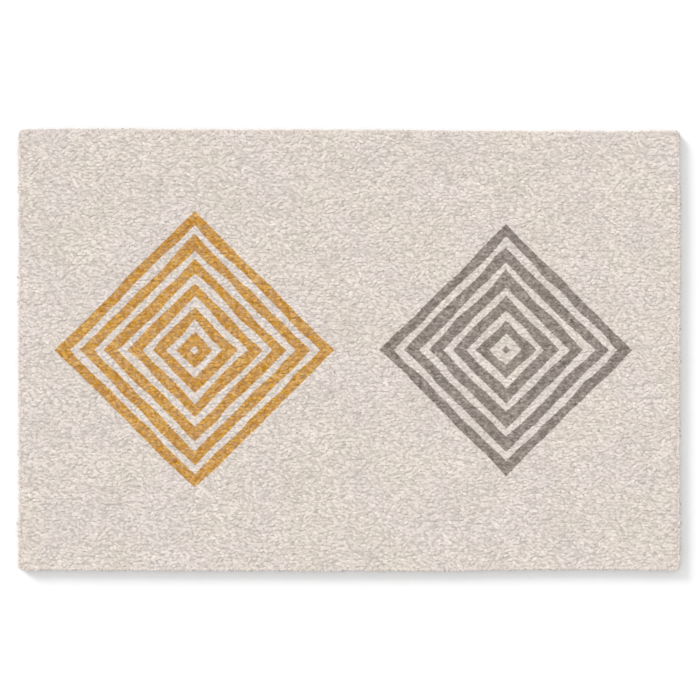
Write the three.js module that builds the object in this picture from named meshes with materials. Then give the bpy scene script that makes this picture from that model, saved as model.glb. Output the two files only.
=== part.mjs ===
// A doormat: one cut length of short pile on its own thin backing, trimmed to a rectangle.
// Millimetres, +Z up. The origin lies on the floor under the middle of the mat, +X runs
// along its width and +Y towards its back edge.
import * as THREE from 'three';

const WIDTH = 600;
const DEPTH = 400;
const BACKING_THICKNESS = 2.2;
const PILE_HEIGHT = 5.8;
const THICKNESS = BACKING_THICKNESS + PILE_HEIGHT;

// The trimmed corners are barely rounded.
const CORNER_RADIUS = 4.6;
const CORNER_STEPS = 6;
const SIDE_STEP = 20;

// At the rim the pile leans out past the cut backing and rolls over to the top.
const PILE_OVERHANG = 0.9;
const ROLL_START = BACKING_THICKNESS + 0.9;
const ROLL_WIDTH = 3.8;
const ROLL_STEPS = 5;

const PILE_COLOUR = 0xded3cb;

// How far each trimmed edge strays outwards from the plain rectangle, read along the edge
// from its left or front end.
const EDGE_STRAY = {
  front: [
    { along: -300, out: -0.3 },
    { along: -150, out: 0.2 },
    { along: 60, out: 0.6 },
    { along: 220, out: -0.8 },
    { along: 300, out: 0.1 },
  ],
  right: [
    { along: -200, out: 0.1 },
    { along: -60, out: -0.3 },
    { along: 90, out: 0.3 },
    { along: 200, out: -0.4 },
  ],
  back: [
    { along: -300, out: 0.6 },
    { along: -250, out: 1.1 },
    { along: -110, out: 0.2 },
    { along: 30, out: 0 },
    { along: 120, out: -1.1 },
    { along: 250, out: -1.3 },
    { along: 300, out: -0.6 },
  ],
  left: [
    { along: -200, out: 0.3 },
    { along: -110, out: -0.3 },
    { along: 0, out: 0.2 },
    { along: 110, out: -0.2 },
    { along: 200, out: 0.1 },
  ],
};

// The four sides in the order of an anticlockwise walk: the way along each one, the way
// out of it, and the distance from the middle to it.
const SIDES = [
  { name: 'front', along: [1, 0], out: [0, -1], reach: DEPTH / 2, half: WIDTH / 2 },
  { name: 'right', along: [0, 1], out: [1, 0], reach: WIDTH / 2, half: DEPTH / 2 },
  { name: 'back', along: [-1, 0], out: [0, 1], reach: DEPTH / 2, half: WIDTH / 2 },
  { name: 'left', along: [0, -1], out: [-1, 0], reach: WIDTH / 2, half: DEPTH / 2 },
];

// The stray of one edge at a place along it, eased from one row of its table to the next.
function strayAt(side, place) {
  const rows = EDGE_STRAY[side];
  const next = rows.findIndex((row) => row.along > place);
  if (next === 0) return rows[0].out;
  if (next < 0) return rows[rows.length - 1].out;
  const { along: start, out: from } = rows[next - 1];
  const { along: end, out: to } = rows[next];
  return from + (to - from) * THREE.MathUtils.smoothstep(place, start, end);
}

// The straight stretch of one side, corner to corner, as points with the way out of each.
function sidePoints({ name, along, out, reach, half }) {
  const run = half - CORNER_RADIUS;
  const steps = Math.round((2 * run) / SIDE_STEP);
  return Array.from({ length: steps + 1 }, (_, i) => {
    const walked = -run + (2 * run * i) / steps;
    const stray = strayAt(name, walked * (along[0] + along[1]));
    return {
      at: new THREE.Vector2(...along).multiplyScalar(walked)
        .addScaledVector(new THREE.Vector2(...out), reach + stray),
      out: new THREE.Vector2(...out),
    };
  });
}

// The quarter round between the end of one side and the start of the next.
function cornerPoints(last, first) {
  const middle = new THREE.Vector2(
    last.out.x !== 0 ? first.at.x : last.at.x,
    last.out.x !== 0 ? last.at.y : first.at.y,
  );
  return Array.from({ length: CORNER_STEPS - 1 }, (_, i) => {
    const turn = (Math.PI / 2) * ((i + 1) / CORNER_STEPS);
    const out = last.out.clone().rotateAround(new THREE.Vector2(), turn);
    const radiusX = Math.abs((last.out.x !== 0 ? last : first).at.x - middle.x);
    const radiusY = Math.abs((last.out.x !== 0 ? first : last).at.y - middle.y);
    return {
      at: new THREE.Vector2(middle.x + radiusX * out.x, middle.y + radiusY * out.y),
      out,
    };
  });
}

// The whole outline of the pile, anticlockwise, with the middle of its box at the origin.
function outlinePoints() {
  const sides = SIDES.map(sidePoints);
  const points = sides.flatMap((side, i) => [
    ...side,
    ...cornerPoints(side[side.length - 1], sides[(i + 1) % sides.length][0]),
  ]);
  const box = new THREE.Box2().setFromPoints(points.map(({ at }) => at));
  const middle = box.getCenter(new THREE.Vector2());
  return points.map(({ at, out }) => ({ at: at.clone().sub(middle), out }));
}

// The section through the rim, from the underside's edge up the cut backing and over the
// rolled pile to the level top. The roll is a quarter of an ellipse.
function rimSection() {
  const backing = [
    { height: 0, inset: PILE_OVERHANG },
    { height: BACKING_THICKNESS, inset: PILE_OVERHANG },
  ];
  const roll = Array.from({ length: ROLL_STEPS + 1 }, (_, i) => {
    const turn = (Math.PI / 2) * (i / ROLL_STEPS);
    return {
      height: ROLL_START + (THICKNESS - ROLL_START) * Math.sin(turn),
      inset: ROLL_WIDTH * (1 - Math.cos(turn)),
    };
  });
  return [...backing, ...roll];
}

// The outline drawn in by an inset, as plan points.
function insetOutline(outline, inset) {
  return outline.map(({ at, out }) => at.clone().addScaledVector(out, -inset));
}

// One closed body: a ring of points for each row of the section, joined ring to ring, with
// a flat underside and a level top filled in.
function matGeometry() {
  const outline = outlinePoints();
  const rings = rimSection().map(({ height, inset }) =>
    insetOutline(outline, inset).map(({ x, y }) => [x, y, height]));
  const count = outline.length;
  const faces = [];
  for (let ring = 0; ring < rings.length - 1; ring += 1) {
    for (let i = 0; i < count; i += 1) {
      const a = ring * count + i;
      const b = ring * count + ((i + 1) % count);
      faces.push([a, b, b + count], [a, b + count, a + count]);
    }
  }
  const top = (rings.length - 1) * count;
  const plan = insetOutline(outline, ROLL_WIDTH);
  for (const [a, b, c] of THREE.ShapeUtils.triangulateShape(plan, [])) {
    faces.push([a + top, b + top, c + top], [a, c, b]);
  }
  const geometry = new THREE.BufferGeometry();
  geometry.setAttribute('position', new THREE.Float32BufferAttribute(rings.flat(2), 3));
  geometry.setIndex(faces.flat());
  geometry.computeVertexNormals();
  return geometry;
}

const mat = new THREE.Mesh(
  matGeometry(),
  new THREE.MeshStandardMaterial({ color: PILE_COLOUR, roughness: 0.95, metalness: 0 }),
);
mat.name = 'mat';

const doormat = new THREE.Group();
doormat.add(mat);

export default doormat;
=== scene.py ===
import math

import bpy
import numpy as np
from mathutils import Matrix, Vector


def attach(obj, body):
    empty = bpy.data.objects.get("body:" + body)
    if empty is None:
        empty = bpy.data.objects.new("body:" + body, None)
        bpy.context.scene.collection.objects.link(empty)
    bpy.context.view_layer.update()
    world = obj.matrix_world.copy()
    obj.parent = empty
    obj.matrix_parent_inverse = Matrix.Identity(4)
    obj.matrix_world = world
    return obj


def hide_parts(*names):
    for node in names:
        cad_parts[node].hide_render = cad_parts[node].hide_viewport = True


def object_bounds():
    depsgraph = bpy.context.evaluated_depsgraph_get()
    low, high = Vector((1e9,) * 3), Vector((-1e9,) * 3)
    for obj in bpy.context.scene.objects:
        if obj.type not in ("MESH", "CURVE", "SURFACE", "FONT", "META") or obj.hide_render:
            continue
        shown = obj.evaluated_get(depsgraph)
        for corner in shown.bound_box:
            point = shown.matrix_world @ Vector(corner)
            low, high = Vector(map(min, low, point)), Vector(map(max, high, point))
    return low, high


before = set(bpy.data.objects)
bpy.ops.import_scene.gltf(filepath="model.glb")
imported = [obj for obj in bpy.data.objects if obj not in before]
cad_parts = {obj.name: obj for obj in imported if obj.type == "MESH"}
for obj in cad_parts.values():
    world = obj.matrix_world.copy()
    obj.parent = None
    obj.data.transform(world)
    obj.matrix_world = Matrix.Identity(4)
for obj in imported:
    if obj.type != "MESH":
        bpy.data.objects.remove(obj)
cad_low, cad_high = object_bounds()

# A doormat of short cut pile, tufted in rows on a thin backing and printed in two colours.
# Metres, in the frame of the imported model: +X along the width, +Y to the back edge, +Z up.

MM = 0.001
SEED = 11

# The least length that anything is divided by
LEAST = 0.001 * MM

# Driving dimensions of the mat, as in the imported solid
NOMINAL_WIDTH = 600 * MM
NOMINAL_DEPTH = 400 * MM
BACKING_THICKNESS = 2.2 * MM
PILE_TOP = cad_high.z
PILE_OVERHANG = 0.9 * MM
CORNER_RADIUS = 4.6 * MM

# How far each trimmed edge strays outwards, in millimetres, read along the edge
EDGE_STRAY = {
    "front": {"along": (-300, -150, 60, 220, 300), "out": (-0.3, 0.2, 0.6, -0.8, 0.1)},
    "right": {"along": (-200, -60, 90, 200), "out": (0.1, -0.3, 0.3, -0.4)},
    "back": {
        "along": (-300, -250, -110, 30, 120, 250, 300),
        "out": (0.6, 1.1, 0.2, 0, -1.1, -1.3, -0.6),
    },
    "left": {"along": (-200, -110, 0, 110, 200), "out": (0.3, -0.3, 0.2, -0.2, 0.1)},
}
STRAY_SAMPLES = 400

# Plan grids: closer marks over the roll at both ends, then even steps
EDGE_MARKS = np.array([0.0, 0.05, 0.2, 0.5, 1.0, 1.9]) * MM
BED_STEP = 2.0 * MM
BACKING_STEP = 12 * MM

# Matted body of the pile, a little below the tips of its yarn
BED_DEPTH = 0.90 * MM
BED_ROLL = 1.2 * MM
BED_RIM = PILE_OVERHANG - 0.1 * MM
BED_FOOT = BACKING_THICKNESS - 0.2 * MM
BED_UNDERSIDE = BED_FOOT - 0.1 * MM
BED_RELIEF = 0.08 * MM
BED_PERIOD = 6.0 * MM
BED_FANNING = 0.75
BED_MOTTLE = 0.8
BED_MOTTLE_PERIOD = 7 * MM
BED_WAVES = 40

# Smooth random fields: how many waves make one, and their lengths as shares of its period
FIELD_WAVES = 28
WAVE_LENGTHS = (0.7, 1.5)

# Locks of yarn laid over the bed: rows run along the width, every other row half a stitch on
STITCH = 3.85 * MM
ROW_GAP = 2.78 * MM
JITTER = 0.38
FIELD_INSET = PILE_OVERHANG + 1.6 * MM
BANDS = 5

# Rows of locks round the rim, from the inside out: the last one hangs over the cut side
RIM_ROWS = (
    {"inset": 3.3 * MM, "gap": 1.7 * MM, "long": 2.9 * MM, "droop": -0.1 * MM},
    {"inset": 2.3 * MM, "gap": 1.6 * MM, "long": 2.25 * MM, "droop": -0.05 * MM},
    {"inset": 1.5 * MM, "gap": 1.2 * MM, "long": 1.3 * MM, "droop": 4.9 * MM},
)
HANGING = 2.0 * MM
RIM_JITTER = 0.4
RIM_UNEVEN = 0.28 * MM
RIM_UNEVEN_ENDS = (-0.8, 2)
RIM_STIFF = 1.1
RIM_NARROW = 0.72
RIM_THICK = 2.4

# Way of the locks: their slant to the rows, and how far they turn outwards near the rim
SLANT = -0.10
SLANT_DRIFT = 0.24
SLANT_PERIOD = 26 * MM
SLANT_STRAY = 0.22
SIDE_PERIOD = 20 * MM
TURN_OUT_AT_RIM = 0.85
TURN_OUT_NEAR_RIM = 0.35
NEAR_RIM = 2.5 * MM
NEAR_RIM_FADE = 2 * MM
FANNING = 0.5

# One lock: its section, rings along it as shares of its length, and how wide each is
SECTION = np.radians([-10, 60, 120, 190])
SIDES = len(SECTION)
RING_AT = np.array([0.0, 0.35, 0.69, 0.945])
RING_WIDTH = np.array([0.62, 1.00, 1.05, 0.78])
TIP_AT = 1.0
CREST_AT = 0.66
CREST = (0.06 * MM, 0.28 * MM)
SINK = 0.50 * MM
LENGTH = 6.3 * MM
LENGTH_SPREAD = 0.17
LENGTH_ENDS = (0.65, 1.35)
HALF_WIDTH = 1.32 * MM
HALF_DEPTH = 0.15 * MM
SIZE_SPREAD = 0.12
SIZE_ENDS = (0.7, 1.3)
CURL = 0.50 * MM
CURL_ENDS = (-2, 2)
TWIST = 0.3
TURN = 0.25

# Tone of the locks: most are near the middle, with a tail of darker ones and a slow drift
TONE_MIDDLE = 0.45
TONE_TAIL = 0.78
# Painted light: lying locks round the rim are made lighter against the shade on the rolled rim
PAINTED_RIM_LIGHT = 0.5
TONE_ENDS = (-2.5, 2.5)
CLOUD = 0.26
CLOUD_PERIOD = 56 * MM

# Painted shade at the roots: how far up a lock's root shows, from 0, darkest, to 1, and its fall
# down a hanging lock
ROOT_SHOWN = (0, 0.34)
RIM_ROOT_SHOWN = 0.22
HANGING_SHOWN = (0.85, 0.75)
# Painted shade on the bed: its share at the rim, and how far it falls inwards, darker between
# the locks
BED_SHOWN_AT_RIM = 0.36
BED_SHOWN_FALL = 0.28

# Faces that meet at more than this angle keep a sharp edge between them
SHARP = math.radians(80)

# Flat map of a lock: its rise from root to tip, and its root's face as middle and reach
LOCK_MAP_RISE = (0.16, 0.86)
LOCK_MAP_ROOT = ((0.5, 0.06), (0.3, 0.05))
LOCK_MAP_MARGIN = 0.07

# Flat map of a plate: its top and its underside, each as a scale and a middle, and its wall
PLATE_MAP_TOP = ((0.96, 0.86), (0.5, 0.55))
PLATE_MAP_WALL = (0.1, 0.08)
PLATE_MAP_UNDER = ((0.96, 0.06), (0.5, 0.04))

# Print: two groups of squares stood on a corner, one inside the other
LINE_PITCH = 15.5 * MM
LINE_WIDTH = 9.2 * MM
LINE_SOFT = 0.5 * MM
MOTIFS = {
    "ochre": {"middle": -140 * MM, "lines": 7, "reach": 120 * MM},
    "grey": {"middle": 142 * MM, "lines": 6, "reach": 108 * MM},
}

# How the lines bend, swell and fray: the most that each does, and the scale of its noise
SWAY = 3.0 * MM
SWAY_SCALE = 20.0
SWELL = 3.4 * MM
SWELL_SCALE = 26.0
SWELL_SHIFT = (3, 5, 0)
FRAY = 0.8 * MM
FRAY_SCALE = 420.0

# Dyes, light and dark, by how much of the dye a lock takes
CREAM_LIGHT = (0.757, 0.686, 0.628, 1)
CREAM_DARK = (0.580, 0.521, 0.474, 1)
DYES = {
    "ochre": {"light": (0.610, 0.325, 0.030, 1), "dark": (0.415, 0.160, 0.002, 1)},
    "grey": {"light": (0.300, 0.248, 0.214, 1), "dark": (0.128, 0.103, 0.085, 1)},
}
UPTAKE = 0.5
THIN = 0.22
SOAK_SCALE = 150.0
SOAK_RANGE = (0.38, 0.62)

# Slow drift of the yarn between a warmer and a cooler hue
WARM = (1.005, 1.000, 0.972, 1)
COOL = (0.999, 0.993, 1.014, 1)
HUE_SCALE = 16.0
HUE_RANGE = (0.36, 0.64)

# Painted shade, darker towards the yarn's root: from and to along it, and the shares of its
# colour there
ROOT_SHADE = (0.0, 0.44, 0.73, 0.965)

# Fibres: streaks along each lock, lighter and darker by a share, with a fine relief
STREAK = 0.29
LOCK_STREAKS = (190, 150, 1)
BED_STREAKS = (156, 387, 1)
FIBRE_RANGE = (0.25, 0.75)
FIBRE_RELIEF = 0.15 * MM

# Soft shading: the share by which the normal turns up, over this range of its own rise
SOFT = 0.65
SOFT_RANGE = (-0.5, 0.6)

# Underside: latex over the threads of its scrim
SCRIM_PITCH = 3.2 * MM
THREAD_REACH = 0.42 * SCRIM_PITCH
THREAD_RISE = (0.25, 0.75)
THREAD_SHADE = (0.16, 0.84)
THREAD_WANDER = 1.2 * MM
WANDER_SCALE = 40.0
GRAIN_SCALE = 900.0
GRAIN_SHADE = (0.94, 1.06)
GRAIN_HEIGHT = 0.25
FILM_SCALE = 24.0
LATEX_RANGE = (0.3, 0.7)
SCRIM_RELIEF = 0.25 * MM
LATEX_LIGHT = (0.60, 0.565, 0.51, 1)
LATEX_DARK = (0.49, 0.46, 0.41, 1)

# Camera: the photograph's frame is square and this wide at the top of the pile
FRAME_WIDTH = 0.634
FRAME_MIDDLE_X = 0.63 * MM
LENS = 85.0
SENSOR = 36.0

# Studio: the floor's brightness is FLOOR_TONE x (SURROUND + KEY x sin(elevation) / pi)
FLOOR_TONE = 0.90
FLOOR_HALF = 20.0
SURROUND = 0.89
KEY = 2.8
KEY_ELEVATION = math.radians(21)
KEY_SPREAD = math.radians(24)
KEY_FROM = math.radians(-47)


def eased_stray(side, place):
    """The stray of one edge at places along it, eased from row to row by 3s^2 - 2s^3."""
    along = np.array(EDGE_STRAY[side]["along"]) * MM
    out = np.array(EDGE_STRAY[side]["out"]) * MM
    place = np.clip(place, along[0], along[-1])
    row = np.clip(np.searchsorted(along, place, side="right") - 1, 0, len(along) - 2)
    s = (place - along[row]) / (along[row + 1] - along[row])
    return out[row] + (out[row + 1] - out[row]) * s * s * (3 - 2 * s)


def edges_at(x, y):
    """Where the four trimmed edges are: left and right at each y, front and back at each x."""
    left = -NOMINAL_WIDTH / 2 - eased_stray("left", y)
    right = NOMINAL_WIDTH / 2 + eased_stray("right", y)
    front = -NOMINAL_DEPTH / 2 - eased_stray("front", x)
    back = NOMINAL_DEPTH / 2 + eased_stray("back", x)
    return left, right, front, back


def outline_middle():
    """The middle of the strayed outline's box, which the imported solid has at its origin."""
    x = np.linspace(-NOMINAL_WIDTH / 2, NOMINAL_WIDTH / 2, STRAY_SAMPLES)
    y = np.linspace(-NOMINAL_DEPTH / 2, NOMINAL_DEPTH / 2, STRAY_SAMPLES)
    left, right, front, back = edges_at(x, y)
    return np.array([(left.min() + right.max()) / 2, (front.min() + back.max()) / 2, 0])


MIDDLE = outline_middle()


def stretched(s, t, inset):
    """Points (s, t) of the unit square carried to the strayed edges less an inset."""
    x = (s - 0.5) * NOMINAL_WIDTH
    y = (t - 0.5) * NOMINAL_DEPTH
    left, right, front, back = edges_at(x, y)
    x = left + inset + s * (right - left - 2 * inset)
    y = front + inset + t * (back - front - 2 * inset)
    return x, y


def inside_distance(x, y):
    """How far points lie inside the outline, and the way out to the nearest edge.

    Each distance is to the strayed edge straight across. Within a corner's square it is
    the radius less the distance to the corner's centre, which rounds the corner.
    """
    left, right, front, back = edges_at(x, y)
    gap_x = np.minimum(x - left, right - x)
    gap_y = np.minimum(y - front, back - y)
    sign_x = np.where(x - left < right - x, -1.0, 1.0)
    sign_y = np.where(y - front < back - y, -1.0, 1.0)
    short_x = np.maximum(CORNER_RADIUS - gap_x, 0)
    short_y = np.maximum(CORNER_RADIUS - gap_y, 0)
    at_corner = (short_x > 0) & (short_y > 0)
    reach = np.maximum(np.hypot(short_x, short_y), LEAST)
    distance = np.where(at_corner, CORNER_RADIUS - reach, np.minimum(gap_x, gap_y))
    near_x = gap_x < gap_y
    out_x = sign_x * np.where(at_corner, short_x / reach, near_x)
    out_y = sign_y * np.where(at_corner, short_y / reach, ~near_x)
    return distance, out_x, out_y


def drawn_in(x, y, inset):
    """Points carried straight back to the outline less an inset where they lie past it."""
    distance, out_x, out_y = inside_distance(x, y)
    past = np.maximum(inset - distance, 0)
    return x - past * out_x, y - past * out_y


def marks(length, step):
    """Places from 0 to 1 across the mat, closer together over the roll at both ends."""
    last = EDGE_MARKS[-1]
    middle = np.linspace(last, length - last, round((length - 2 * last) / step) + 1)
    ends = EDGE_MARKS[:-1]
    return np.concatenate([ends, middle, length - ends[::-1]]) / length


def plan_grid(inset, step):
    """A grid of points over the mat less an inset, with its corners drawn in round."""
    s = marks(NOMINAL_WIDTH - 2 * inset, step)
    t = marks(NOMINAL_DEPTH - 2 * inset, step)
    s, t = np.meshgrid(s, t)
    x, y = stretched(s, t, inset)
    return drawn_in(x, y, inset)


def waves(rng, period, count=FIELD_WAVES, way=0.0, spread=np.pi):
    """Plane waves of about one period, running within a spread of one way."""
    turn = way + rng.uniform(-spread, spread, count)
    number = 2 * np.pi / (period * rng.uniform(*WAVE_LENGTHS, count))
    return number * np.cos(turn), number * np.sin(turn), rng.uniform(0, 2 * np.pi, count)


def drift(field, x, y):
    """A smooth random field of unit spread: the sum of a set of plane waves."""
    across, up, phase = field
    total = np.sin(np.multiply.outer(x, across) + np.multiply.outer(y, up) + phase)
    return total.sum(axis=-1) * math.sqrt(2 / len(phase))


def bed_height(x, y):
    """The bed's height: a quarter ellipse in from its rim, then level."""
    distance, _, _ = inside_distance(x, y)
    s = np.clip(1 - (distance - BED_RIM) / BED_ROLL, 0, 1)
    return BED_FOOT + (PILE_TOP - BED_DEPTH - BED_FOOT) * np.sqrt(1 - s * s)


def field_crests(rng):
    """Crests on a staggered lattice, jittered and stretched to the strayed edges.

    They come with their locks' length and droop, which is none.
    """
    across = round((NOMINAL_WIDTH - 2 * FIELD_INSET) / STITCH) + 1
    rows = round((NOMINAL_DEPTH - 2 * FIELD_INSET) / ROW_GAP) + 1
    column, row = np.meshgrid(np.arange(across), np.arange(rows))
    s = column + 0.5 * (row % 2) - 0.25 + rng.uniform(-JITTER, JITTER, row.shape)
    t = row + rng.uniform(-JITTER, JITTER, row.shape)
    s = np.clip(s / (across - 1), 0, 1).ravel()
    t = np.clip(t / (rows - 1), 0, 1).ravel()
    x, y = drawn_in(*stretched(s, t, FIELD_INSET), FIELD_INSET)
    return x, y, np.full_like(x, LENGTH), np.zeros_like(x)


def rim_roots(rng, inset, gap, long, droop):
    """Roots in one row all round the mat, at an inset from its outline.

    A place is the distance walked round the nominal rectangle, at every gap give or take
    a jitter. They come with their locks' length and their uneven droop.
    """
    half_x, half_y = NOMINAL_WIDTH / 2, NOMINAL_DEPTH / 2
    round_trip = 4 * (half_x + half_y)
    count = round(round_trip / gap)
    walked = np.arange(count) + rng.uniform(-RIM_JITTER, RIM_JITTER, count)
    walked = walked * gap % round_trip
    turns = np.cumsum([0, 2 * half_x, 2 * half_y, 2 * half_x, 2 * half_y])
    s = np.interp(walked, turns, (0, 1, 1, 0, 0))
    t = np.interp(walked, turns, (0, 0, 1, 1, 0))
    x, y = drawn_in(*stretched(s, t, inset), inset)
    uneven = RIM_UNEVEN * rng.normal(0, 1, count).clip(*RIM_UNEVEN_ENDS)
    return x, y, np.full_like(x, long), droop + uneven


def lock_ways(rng, x, y, at_rim):
    """The way each lock lies in the plan, and how much of it points out of the mat.

    In the field a lock lies along the rows to either side, turned by the slant. Near the
    rim its way is mixed by a share with the way out, fanned by its own way along the edge.
    """
    count = len(x)
    distance, out_x, out_y = inside_distance(x, y)
    lean = drift(waves(rng, SIDE_PERIOD), x, y) + rng.normal(0, 1.0, count)
    side = np.where(lean > 0, 1.0, -1.0)
    way = SLANT + SLANT_DRIFT * drift(waves(rng, SLANT_PERIOD), x, y)
    way = way + rng.normal(0, SLANT_STRAY, count)
    way_x, way_y = side * np.cos(way), side * np.sin(way)
    near = np.clip(1 - (distance - NEAR_RIM) / NEAR_RIM_FADE, 0, TURN_OUT_NEAR_RIM)
    outward = np.where(at_rim, TURN_OUT_AT_RIM, near)
    way_x = way_x * (1 - outward) + outward * (out_x + FANNING * way_x * np.abs(out_y))
    way_y = way_y * (1 - outward) + outward * (out_y + FANNING * way_y * np.abs(out_x))
    norm = np.hypot(way_x, way_y)
    return way_x / norm, way_y / norm, outward


def lock_table(rng):
    """Every lock's own numbers, as arrays: root, way, length, curl, crest, size, painted root
    shade and tone.
    """
    starts = [field_crests(rng)] + [rim_roots(rng, **row) for row in RIM_ROWS]
    x, y, long, droop = np.concatenate(starts, axis=1)
    count = len(x)
    at_rim = np.arange(count) >= len(starts[0][0])
    hangs = droop > HANGING
    way_x, way_y, outward = lock_ways(rng, x, y, at_rim)
    long = long * rng.normal(1, LENGTH_SPREAD, count).clip(*LENGTH_ENDS)
    size = rng.normal(1, SIZE_SPREAD, count).clip(*SIZE_ENDS)
    back = np.where(at_rim, 0, CREST_AT * long)
    locks = {
        "x": x - back * way_x,
        "y": y - back * way_y,
        "way_x": way_x,
        "way_y": way_y,
        "stiff": RIM_STIFF * outward,
        "droop": droop,
        "hangs": hangs,
        # How much painted shade each lock's root shows: a random amount, and a set one at the
        # rim
        "shown": np.where(at_rim, RIM_ROOT_SHOWN, rng.uniform(*ROOT_SHOWN, count)),
        "long": long,
        "curl": CURL * rng.normal(0, 1, count).clip(*CURL_ENDS),
        "crest": rng.uniform(*CREST, count),
        "size": size * np.where(at_rim, RIM_NARROW, 1.0),
        "thick": np.where(at_rim, RIM_THICK, 1.0),
        "twist": rng.normal(0, TWIST, count),
        "turn": rng.normal(0, TURN, count),
    }
    # Lying rim locks get painted light against the shade that falls on the rolled rim
    tone = TONE_MIDDLE - rng.gumbel(0, TONE_TAIL, count) + PAINTED_RIM_LIGHT * (at_rim & ~hangs)
    cloud = CLOUD * drift(waves(rng, CLOUD_PERIOD), x, y)
    locks["tone"] = (tone + cloud).clip(*TONE_ENDS)
    return locks


def lock_points(locks):
    """Every lock's points, ring by ring and then the tip: an array of locks x points x 3.

    The middle line runs along its way with a sideways curl of sin(pi t). Its height over
    the bed is a parabola: sunk at the root, highest at the crest, lower again at the tip.
    At the rim it keeps a share of its root's height and droops by t^2. A ring is square
    to the middle line.
    """
    own = {key: values[:, None] for key, values in locks.items()}
    at = np.append(RING_AT, TIP_AT)
    forward = own["long"] * at
    curl = own["curl"] * np.sin(np.pi * at)
    x = own["x"] + own["way_x"] * forward - own["way_y"] * curl
    y = own["y"] + own["way_y"] * forward + own["way_x"] * curl
    lift = own["crest"] - (own["crest"] + SINK) * ((at - CREST_AT) / CREST_AT) ** 2
    lift = lift - own["droop"] * at**2
    under = bed_height(x, y)
    under = under + own["stiff"] * (under[:, :1] - under)
    middle = np.stack([x, y, under + lift], axis=-1)
    along = np.gradient(middle, at, axis=1)
    along /= np.linalg.norm(along, axis=-1, keepdims=True)
    flat = np.maximum(np.hypot(along[..., 0], along[..., 1]), LEAST)
    across = np.stack([-along[..., 1] / flat, along[..., 0] / flat, 0 * flat], axis=-1)
    up = np.cross(along, across)
    turn = own["turn"][:, :, None] + own["twist"][:, :, None] * RING_AT[:, None]
    ring = (own["size"] * RING_WIDTH)[:, :, None]
    wide = HALF_WIDTH * ring * np.cos(SECTION + turn)
    deep = HALF_DEPTH * own["thick"][:, :, None] * ring * np.sin(SECTION + turn)
    rings = (
        middle[:, :-1, None, :]
        + wide[..., None] * across[:, :-1, None, :]
        + deep[..., None] * up[:, :-1, None, :]
    )
    rings = rings.reshape(len(x), -1, 3)
    return np.concatenate([rings, middle[:, -1:, :]], axis=1)


def lock_faces():
    """One lock's faces as corner numbers, where each face starts, and a flat map of them.

    The map spreads the sides left to right and root to tip, the cut tip above them and
    the root's closing face below, as points on a small ellipse.
    """
    rings = len(RING_AT)
    low, high = LOCK_MAP_RISE
    rise = low + (high - low) * RING_AT / RING_AT[-1]
    corners, flat, starts = [], [], []
    for ring in range(rings - 1):
        for k in range(SIDES):
            a, b = ring * SIDES + k, ring * SIDES + (k + 1) % SIDES
            starts.append(len(corners))
            corners += [a, b, b + SIDES, a + SIDES]
            flat += [(k / SIDES, rise[ring]), ((k + 1) / SIDES, rise[ring])]
            flat += [((k + 1) / SIDES, rise[ring + 1]), (k / SIDES, rise[ring + 1])]
    top = (rings - 1) * SIDES
    for k in range(SIDES):
        starts.append(len(corners))
        corners += [top + k, top + (k + 1) % SIDES, rings * SIDES]
        flat += [(k / SIDES, high), ((k + 1) / SIDES, high), ((k + 0.5) / SIDES, 1.0)]
    starts.append(len(corners))
    corners += list(range(SIDES - 1, -1, -1))
    angle = -np.arange(SIDES) * 2 * np.pi / SIDES
    (across, up), (wide, tall) = LOCK_MAP_ROOT
    flat += [(across + wide * math.cos(a), up + tall * math.sin(a)) for a in angle]
    return np.array(corners), np.array(starts), np.array(flat)


def new_piece(name, points, corners, starts, material):
    """A smooth mesh object from arrays of points and of faces' corners."""
    mesh = bpy.data.meshes.new(name)
    mesh.vertices.add(len(points))
    mesh.vertices.foreach_set("co", points.astype(np.float32).ravel())
    mesh.loops.add(corners.size)
    mesh.loops.foreach_set("vertex_index", corners.astype(np.int32).ravel())
    mesh.polygons.add(starts.size)
    mesh.polygons.foreach_set("loop_start", starts.astype(np.int32).ravel())
    mesh.update(calc_edges=True)
    mesh.validate()
    mesh.shade_smooth()
    mesh.materials.append(material)
    piece = bpy.data.objects.new(name, mesh)
    bpy.context.scene.collection.objects.link(piece)
    return piece


def add_attribute(piece, name, values):
    """One number for each point of a piece."""
    layer = piece.data.attributes.new(name, "FLOAT", "POINT")
    layer.data.foreach_set("value", values.astype(np.float32).ravel())


def add_map(piece, flat):
    """The piece's own flat map, a pair of numbers for each face corner."""
    layer = piece.data.uv_layers.new(name="OFBake")
    layer.uv.foreach_set("vector", flat.astype(np.float32).ravel())


def shown_height(locks):
    """How far up its yarn each point of each lock shows, from 0 at its root, painted darkest in
    shade.

    It is the share of the length, and no less than the lock's own root shows. A hanging
    lock's painted shade leaves the top light and darkens towards the floor.
    """
    at = np.append(np.repeat(RING_AT, SIDES), TIP_AT)
    first, fall = HANGING_SHOWN
    lying = np.maximum(at, locks["shown"][:, None])
    return np.where(locks["hangs"][:, None], (first - fall * at).clip(0, 1), lying)


def pile_band(name, locks, material):
    """One band of locks as a piece, each lock with its own square of the flat map."""
    points = lock_points(locks)
    count, each = points.shape[:2]
    corners, starts, flat = lock_faces()
    all_corners = corners[None, :] + (np.arange(count) * each)[:, None]
    all_starts = starts[None, :] + (np.arange(count) * len(corners))[:, None]
    piece = new_piece(name, points.reshape(-1, 3) - MIDDLE, all_corners, all_starts, material)
    cells = math.ceil(math.sqrt(count))
    square = np.stack([np.arange(count) % cells, np.arange(count) // cells], axis=-1)
    inner = LOCK_MAP_MARGIN + (1 - 2 * LOCK_MAP_MARGIN) * flat[None]
    piece.data.set_sharp_from_angle(angle=SHARP)
    add_map(piece, (square[:, None, :] + inner) / cells)
    add_attribute(piece, "height", shown_height(locks))
    add_attribute(piece, "tone", np.repeat(locks["tone"], each))
    return piece


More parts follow.
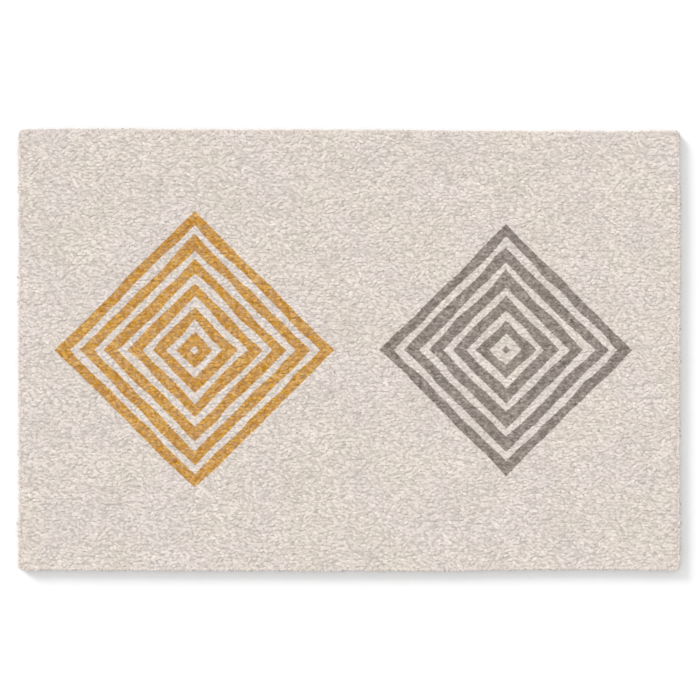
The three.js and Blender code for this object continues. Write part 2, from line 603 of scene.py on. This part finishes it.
def closed_plate(name, x, y, z, foot, material):
    """A closed plate on a plan grid: its top at heights z, a wall and one flat underside.

    The flat map is the plan above, and thin strips below it for the wall and underside.
    """
    number = np.arange(x.size).reshape(x.shape)
    rim = np.concatenate([number[0, :-1], number[:-1, -1], number[-1, :0:-1], number[:0:-1, 0]])
    low = number.size + np.arange(rim.size)
    top = np.stack([number[:-1, :-1], number[:-1, 1:], number[1:, 1:], number[1:, :-1]], axis=-1)
    wall = np.stack([rim, low, np.roll(low, -1), np.roll(rim, -1)], axis=-1)
    quads = np.concatenate([top.reshape(-1, 4), wall[:, ::-1]])
    corners = np.concatenate([quads.ravel(), low[::-1]])
    starts = np.arange(len(quads) + 1) * 4
    points = np.stack([x, y, z], axis=-1).reshape(-1, 3)
    under = points[rim] * (1, 1, 0) + (0, 0, foot)
    points = np.concatenate([points, under]) - MIDDLE
    piece = new_piece(name, points, corners, starts, material)
    piece.data.set_sharp_from_angle(angle=SHARP)
    plan = points[:, :2] / (NOMINAL_WIDTH, NOMINAL_DEPTH)
    scale, middle = PLATE_MAP_TOP
    flat = plan[corners] * scale + middle
    turn = np.linspace(0, 1, rim.size + 1)
    upper, lower = PLATE_MAP_WALL
    wall_map = np.stack([turn[:-1], turn[:-1], turn[1:], turn[1:]], axis=-1)[:, ::-1]
    wall_rise = np.broadcast_to((upper, lower, lower, upper), wall_map.shape)[:, ::-1]
    flat[top.size : quads.size] = np.stack([wall_map.ravel(), wall_rise.ravel()], axis=-1)
    scale, middle = PLATE_MAP_UNDER
    flat[quads.size :] = plan[low[::-1]] * scale + middle
    add_map(piece, flat)
    return piece


def matted_bed(rng, material):
    """The body of the pile: its rolled form with a low relief of lying yarn."""
    x, y = plan_grid(BED_RIM, BED_STEP)
    distance, _, _ = inside_distance(x, y)
    lying = drift(waves(rng, BED_PERIOD, BED_WAVES, math.pi / 2, BED_FANNING), x, y)
    inside = np.clip((distance - BED_RIM) / BED_ROLL, 0, 1)
    z = bed_height(x, y) + BED_RELIEF * lying * inside
    bed = closed_plate("pile_bed", x, y, z, BED_UNDERSIDE, material)
    # Painted shade on the bed: lightest at its rim and wall, darker inwards where it shows
    # between the locks
    height = np.full(len(bed.data.vertices), BED_SHOWN_AT_RIM)
    height[: x.size] = (BED_SHOWN_AT_RIM - BED_SHOWN_FALL * inside).ravel()
    add_attribute(bed, "height", height)
    tone = np.zeros(len(bed.data.vertices))
    mottle = drift(waves(rng, BED_MOTTLE_PERIOD, BED_WAVES), x, y)
    tone[: x.size] = BED_MOTTLE * mottle.ravel()
    add_attribute(bed, "tone", tone)
    return bed


def backing_slab(material):
    """The backing as one closed plate, cut square at its edges."""
    x, y = plan_grid(PILE_OVERHANG, BACKING_STEP)
    z = np.full_like(x, BACKING_THICKNESS)
    return closed_plate("backing", x, y, z, 0.0, material)


class Nodes:
    """A material's shader nodes, with short calls that return each node's output."""

    def __init__(self, name):
        self.material = bpy.data.materials.new(name)
        self.material.use_nodes = True
        self.tree = self.material.node_tree
        self.shader = self.tree.nodes["Principled BSDF"]

    def put(self, socket, value):
        """Link an output to a socket, or set a number or colour on it."""
        if isinstance(value, bpy.types.NodeSocket):
            self.tree.links.new(value, socket)
        else:
            socket.default_value = value

    def finish(self, **values):
        """The shader's own sockets; an underscore stands for a space."""
        for name, value in values.items():
            self.put(self.shader.inputs[name.replace("_", " ")], value)

    def math(self, operation, first, second=0.0, third=0.0):
        """Arithmetic on numbers."""
        made = self.tree.nodes.new("ShaderNodeMath")
        made.operation = operation
        for socket, value in zip(made.inputs, (first, second, third)):
            self.put(socket, value)
        return made.outputs[0]

    def vector(self, operation, first, second=(0, 0, 0)):
        """Arithmetic on vectors or colours."""
        made = self.tree.nodes.new("ShaderNodeVectorMath")
        made.operation = operation
        self.put(made.inputs[0], first)
        self.put(made.inputs[1], second)
        return made.outputs[0]

    def dimmed(self, colour, share):
        """A vector or colour scaled by a number."""
        made = self.tree.nodes.new("ShaderNodeVectorMath")
        made.operation = "SCALE"
        self.put(made.inputs[0], colour)
        self.put(made.inputs["Scale"], share)
        return made.outputs[0]

    def mix(self, factor, first, second):
        """From one colour to another by a factor; 6, 7 and 2 are its sockets for colours."""
        made = self.tree.nodes.new("ShaderNodeMix")
        made.data_type = "RGBA"
        for socket, value in zip((0, 6, 7), (factor, first, second)):
            self.put(made.inputs[socket], value)
        return made.outputs[2]

    def ramp(self, value, from_low, from_high, to_low=0.0, to_high=1.0):
        """A number carried from one range to another and held at its ends."""
        made = self.tree.nodes.new("ShaderNodeMapRange")
        for socket, number in zip(made.inputs, (value, from_low, from_high, to_low, to_high)):
            self.put(socket, number)
        return made.outputs[0]

    def attribute(self, name):
        """A number that each point of the piece carries."""
        made = self.tree.nodes.new("ShaderNodeAttribute")
        made.attribute_name = name
        return made.outputs["Fac"]

    def place(self):
        """The point's own place on the mat, in metres."""
        return self.tree.nodes.new("ShaderNodeTexCoord").outputs["Object"]

    def own_map(self):
        """The point's place on the piece's flat map."""
        made = self.tree.nodes.new("ShaderNodeUVMap")
        made.uv_map = "OFBake"
        return made.outputs["UV"]

    def scaled(self, vector, scale, shift=(0, 0, 0)):
        """A place scaled each way, then shifted."""
        made = self.tree.nodes.new("ShaderNodeMapping")
        self.put(made.inputs["Vector"], vector)
        made.inputs["Location"].default_value = shift
        made.inputs["Scale"].default_value = scale
        return made.outputs[0]

    def split(self, vector):
        """A vector's three numbers."""
        made = self.tree.nodes.new("ShaderNodeSeparateXYZ")
        self.put(made.inputs[0], vector)
        return made.outputs

    def noise_at(self, vector, scale, detail, roughness):
        """Soft noise, as a node with a number and a colour."""
        made = self.tree.nodes.new("ShaderNodeTexNoise")
        self.put(made.inputs["Vector"], vector)
        made.inputs["Scale"].default_value = scale
        made.inputs["Detail"].default_value = detail
        made.inputs["Roughness"].default_value = roughness
        return made

    def noise(self, vector, scale, detail=2.0, roughness=0.5):
        """Soft noise as a number around 0.5."""
        return self.noise_at(vector, scale, detail, roughness).outputs["Fac"]

    def wander(self, vector, scale, reach):
        """A place moved by noise, each way by up to half a reach."""
        colour = self.noise_at(vector, scale, 2.0, 0.5).outputs["Color"]
        move = self.dimmed(self.vector("SUBTRACT", colour, (0.5, 0.5, 0.5)), reach)
        return self.vector("ADD", vector, move)

    def softened(self, share):
        """The surface's own normal, turned by a share towards straight up where it faces up.

        Sockets 4, 5 and 1 of the mixing node are those for vectors.
        """
        own = self.tree.nodes.new("ShaderNodeNewGeometry").outputs["Normal"]
        made = self.tree.nodes.new("ShaderNodeMix")
        made.data_type = "VECTOR"
        self.put(made.inputs[0], self.ramp(self.split(own)[2], *SOFT_RANGE, 0.0, share))
        self.put(made.inputs[4], own)
        self.put(made.inputs[5], (0, 0, 1))
        return self.vector("NORMALIZE", made.outputs[1])

    def bump(self, height, distance, strength, normal=None):
        """The normal of a fine relief, laid over another normal if one is given."""
        made = self.tree.nodes.new("ShaderNodeBump")
        self.put(made.inputs["Height"], height)
        if normal is not None:
            self.put(made.inputs["Normal"], normal)
        made.inputs["Distance"].default_value = distance
        made.inputs["Strength"].default_value = strength
        return made.outputs["Normal"]


def squares_print(nodes, motif):
    """How strongly the pile is printed, 0 to 1, by one motif of nested squares.

    |x - middle| + |y| is the same all round a square stood on its corner. Counted in from
    the outermost line it repeats at each pitch, and a line is where it falls within half
    a line's width of a whole pitch. A slow noise bends the lines and lets them swell.
    """
    place = nodes.place()
    x, y, _ = nodes.split(place)
    from_middle = nodes.math("ABSOLUTE", nodes.math("SUBTRACT", x, motif["middle"]))
    reach = nodes.math("ADD", from_middle, nodes.math("ABSOLUTE", y))
    flat = nodes.scaled(place, (1, 1, 0))
    shifted = nodes.scaled(place, (1, 1, 0), SWELL_SHIFT)
    sway = nodes.noise(flat, SWAY_SCALE, detail=1.0)
    sway = nodes.math("MULTIPLY_ADD", sway, 2 * SWAY, -SWAY)
    fray = nodes.noise(flat, FRAY_SCALE, detail=1.0)
    fray = nodes.math("MULTIPLY_ADD", fray, 2 * FRAY, -FRAY)
    swell = nodes.noise(shifted, SWELL_SCALE, detail=1.0)
    swell = nodes.math("MULTIPLY_ADD", swell, 2 * SWELL, -SWELL)
    reach = nodes.math("ADD", reach, nodes.math("ADD", sway, fray))
    inward = nodes.math("SUBTRACT", motif["reach"], reach)
    pitch = LINE_PITCH * math.sqrt(2)
    half = LINE_WIDTH * math.sqrt(2) / 2
    wave = nodes.math("ADD", nodes.math("PINGPONG", inward, pitch / 2), swell)
    line = nodes.ramp(wave, half - LINE_SOFT, half + LINE_SOFT, 1.0, 0.0)
    outer = nodes.ramp(inward, -half - LINE_SOFT, -half + LINE_SOFT)
    innermost = (motif["lines"] - 0.5) * pitch
    inner = nodes.ramp(inward, innermost - LINE_SOFT, innermost + LINE_SOFT, 1.0, 0.0)
    return nodes.math("MULTIPLY", line, nodes.math("MULTIPLY", outer, inner))


def pile_material(name, streaks):
    """Matt dyed yarn: tone by lock, the print from above, fibre streaks along the yarn, painted
    root shade.
    """
    nodes = Nodes(name)
    tone = nodes.ramp(nodes.attribute("tone"), *TONE_ENDS)
    along_lock = nodes.scaled(nodes.own_map(), streaks)
    fibre = nodes.noise(along_lock, 1.0, detail=3.0, roughness=0.6)
    uptake = nodes.math("ADD", tone, nodes.ramp(fibre, *FIBRE_RANGE, -UPTAKE, UPTAKE))
    flat = nodes.scaled(nodes.place(), (1, 1, 0))
    soak = nodes.noise(flat, SOAK_SCALE, detail=3.0, roughness=0.8)
    soak = nodes.ramp(soak, *SOAK_RANGE, 1 - THIN, 1.0)
    colour = nodes.mix(tone, CREAM_DARK, CREAM_LIGHT)
    for motif, dye in DYES.items():
        ink = nodes.math("MULTIPLY", squares_print(nodes, MOTIFS[motif]), soak)
        colour = nodes.mix(ink, colour, nodes.mix(uptake, dye["dark"], dye["light"]))
    # Painted shade: darker towards each lock's root and in the bed between the locks
    shade = nodes.ramp(nodes.attribute("height"), *ROOT_SHADE)
    streak = nodes.ramp(fibre, *FIBRE_RANGE, 1 - STREAK, 1 + STREAK)
    colour = nodes.dimmed(colour, nodes.math("MULTIPLY", shade, streak))
    hue = nodes.ramp(nodes.noise(flat, HUE_SCALE, detail=2.0, roughness=0.6), *HUE_RANGE)
    nodes.finish(
        Base_Color=nodes.vector("MULTIPLY", colour, nodes.mix(hue, WARM, COOL)),
        Roughness=0.92,
        Specular_IOR_Level=0.2,
        Sheen_Weight=0.2,
        Sheen_Roughness=0.6,
        Normal=nodes.bump(fibre, FIBRE_RELIEF, strength=0.3, normal=nodes.softened(SOFT)),
    )
    return nodes.material


def backing_material():
    """Pale latex spread over a woven scrim, whose threads show through it from below.

    A thread is where x, or y, lies near a whole pitch. Threads along x and along y pass
    over each other by turns: each one's height rises and falls along it once in two
    pitches, half a turn apart in the two directions.
    """
    nodes = Nodes("latex_backing")
    place = nodes.place()
    x, y, _ = nodes.split(nodes.wander(place, WANDER_SCALE, THREAD_WANDER))
    threads = []
    for across, along, turn in ((x, y, 0.0), (y, x, math.pi)):
        gap = nodes.math("PINGPONG", across, SCRIM_PITCH / 2)
        near = nodes.ramp(gap, 0, THREAD_REACH, 1, 0)
        phase = nodes.math("MULTIPLY_ADD", along, math.pi / SCRIM_PITCH, turn)
        rise = nodes.math("MULTIPLY_ADD", nodes.math("SINE", phase), *THREAD_RISE)
        threads.append(nodes.math("MULTIPLY", near, rise))
    weave = nodes.math("MAXIMUM", *threads)
    grain = nodes.noise(place, GRAIN_SCALE, detail=2.0, roughness=0.6)
    film = nodes.noise(place, FILM_SCALE, detail=4.0, roughness=0.65)
    latex = nodes.mix(nodes.ramp(film, *LATEX_RANGE), LATEX_DARK, LATEX_LIGHT)
    shade = nodes.math("MULTIPLY_ADD", weave, *THREAD_SHADE)
    shade = nodes.math("MULTIPLY", shade, nodes.ramp(grain, *LATEX_RANGE, *GRAIN_SHADE))
    height = nodes.math("MULTIPLY_ADD", grain, GRAIN_HEIGHT, weave)
    nodes.finish(
        Base_Color=nodes.dimmed(latex, shade),
        Roughness=0.78,
        Specular_IOR_Level=0.3,
        Normal=nodes.bump(height, SCRIM_RELIEF, strength=0.7),
    )
    return nodes.material


def white_floor():
    """A wide matt white floor, level with the mat's underside."""
    nodes = Nodes("white_floor")
    nodes.finish(
        Base_Color=(FLOOR_TONE, FLOOR_TONE, FLOOR_TONE, 1),
        Roughness=1.0,
        Specular_IOR_Level=0.0,
    )
    corners = FLOOR_HALF * np.array([[-1, -1, 0], [1, -1, 0], [1, 1, 0], [-1, 1, 0]])
    return new_piece("floor", corners, np.arange(4), np.array([0]), nodes.material)


def studio_light():
    """An even white surround and one broad soft light, low from the back left."""
    world = bpy.data.worlds.new("studio")
    bpy.context.scene.world = world
    world.use_nodes = True
    surround = world.node_tree.nodes["Background"]
    surround.inputs["Color"].default_value = (1, 1, 1, 1)
    surround.inputs["Strength"].default_value = SURROUND
    sun = bpy.data.lights.new("soft_key", "SUN")
    sun.energy = KEY
    sun.angle = KEY_SPREAD
    key = bpy.data.objects.new("soft_key", sun)
    key.rotation_euler = (KEY_ELEVATION - math.pi / 2, 0, -KEY_FROM)
    bpy.context.scene.collection.objects.link(key)


def camera():
    """Straight above the mat, far enough back for the photograph's frame width."""
    data = bpy.data.cameras.new("camera")
    data.lens = LENS
    data.sensor_width = SENSOR
    made = bpy.data.objects.new("camera", data)
    bpy.context.scene.collection.objects.link(made)
    back = FRAME_WIDTH * LENS / SENSOR
    made.location = (FRAME_MIDDLE_X, 0, PILE_TOP + back)
    bpy.context.scene.camera = made


camera()
studio_light()
white_floor()
bpy.context.scene.view_settings.view_transform = "Standard"

backing = backing_slab(backing_material())
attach(backing, "root")
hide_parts("mat")

# The pile's bed, and its locks in bands from front to back
rng = np.random.default_rng(SEED)
pile = pile_material("printed_pile", LOCK_STREAKS)
pieces = [matted_bed(rng, pile_material("printed_bed", BED_STREAKS))]
locks = lock_table(rng)
band_of = ((locks["y"] / NOMINAL_DEPTH + 0.5) * BANDS).astype(int).clip(0, BANDS - 1)
for band in range(BANDS):
    own = {key: values[band_of == band] for key, values in locks.items()}
    pieces.append(pile_band(f"pile_band_{band + 1}", own, pile))
for piece in pieces:
    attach(piece, "root")
    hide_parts("mat")
